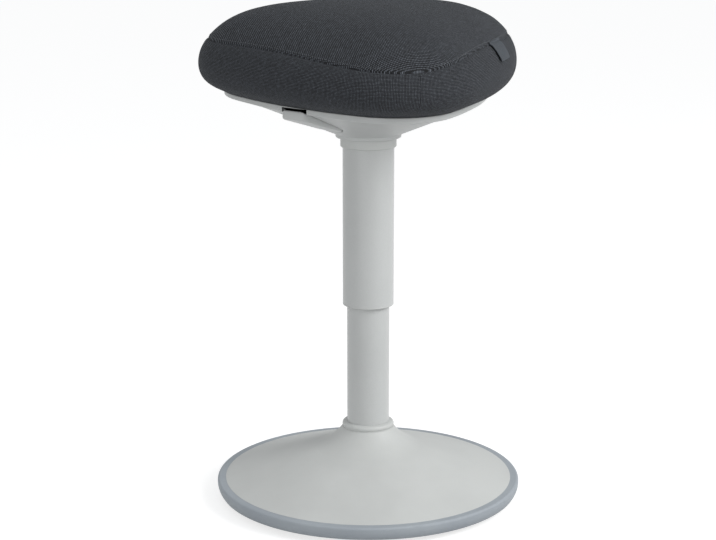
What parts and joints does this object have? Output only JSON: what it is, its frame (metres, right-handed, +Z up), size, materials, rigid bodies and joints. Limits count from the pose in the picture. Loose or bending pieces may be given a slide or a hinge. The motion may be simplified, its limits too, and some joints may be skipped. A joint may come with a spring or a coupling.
{
  "type": "wobble stool",
  "caption": "Wobble stool with a rocking round base, a telescopic gas-spring column and a swivelling rounded-triangle fabric seat on a moulded pan with a release lever.",
  "frame": {"origin": "on the floor, at the centre of the standing pad, on the column's axis", "axes": "+Z up along the column; the seat's nose points along -Y; the release lever is on the -X side"},
  "size_m": [0.3828, 0.3761, 0.5908],
  "materials": {
    "shell_grey": "satin",
    "pan_grey": "satin",
    "coated_tube": "satin",
    "edge_rubber": "matte",
    "pad_rubber": "matte",
    "zinc_steel": "satin",
    "plain_steel": "satin",
    "black_steel": "satin",
    "chromed_rod": "polished",
    "cast_ballast": "matte",
    "brass_cage": "satin",
    "white_acetal": "satin",
    "plywood": "matte",
    "foam": "matte",
    "woven_cover": "matte",
    "woven_label": "matte"
  },
  "bodies": {
    "base": {"base_dome": "shell_grey", "edge_ring": "edge_rubber", "rocker_shell": "shell_grey", "standing_pad": "pad_rubber", "base_screws": "zinc_steel", "ballast_plate": "cast_ballast", "ballast_screws": "zinc_steel", "hub_socket": "plain_steel", "hub_screws": "zinc_steel", "neck_collar": "shell_grey", "lower_tube": "coated_tube", "guide_bush": "white_acetal", "tube_floor": "plain_steel", "lower_race": "zinc_steel", "bearing_balls": "zinc_steel", "bearing_cage": "brass_cage"},
    "spring_rod": {"upper_race": "zinc_steel", "bump_stop": "pad_rubber", "rod_washer": "zinc_steel", "rod_clip": "zinc_steel", "piston_rod": "chromed_rod", "piston": "plain_steel"},
    "seat_lift": {"gas_cylinder": "black_steel", "cylinder_end_cap": "plain_steel", "cover_tube": "coated_tube", "lip_ring": "shell_grey", "pan_collar": "shell_grey", "seat_pan": "pan_grey", "pan_screws": "zinc_steel", "mount_plate": "black_steel", "column_channel": "black_steel", "taper_socket": "plain_steel", "plate_bolts": "zinc_steel", "tee_nuts": "zinc_steel", "seat_board": "plywood", "seat_foam": "foam", "seat_cover": "woven_cover", "label_tab": "woven_label", "lever_pin": "zinc_steel", "pin_spacers": "white_acetal"},
    "lever": {"lever_arm": "plain_steel", "lever_paddle": "pan_grey", "lever_screws": "zinc_steel"},
    "release": {"release_pin": "zinc_steel"}
  },
  "joints": [
    {"name": "seat_swivel", "type": "hinge", "parent": "base", "child": "spring_rod", "pos_m": [0, 0, 0.042], "axis": [0, 0, 1], "continuous": true},
    {"name": "height_slide", "type": "slide", "parent": "spring_rod", "child": "seat_lift", "axis": [0, 0, 1], "range_m": [-0.13, 0.05]},
    {"name": "lever_pull", "type": "hinge", "parent": "seat_lift", "child": "lever", "pos_m": [-0.04966, -0.03542, 0.4676], "axis": [-0.5807, 0.8141, 0], "range_deg": [0, 2.2], "stiffness_Nm_per_rad": 4, "springref_deg": -3.44},
    {"name": "valve_press", "type": "slide", "parent": "seat_lift", "child": "release", "axis": [0, 0, -1], "range_m": [0, 0.0025]}
  ],
  "couplings": [
    {"joint": "valve_press", "follows": "lever_pull", "m_per_rad": 0.062}
  ]
}
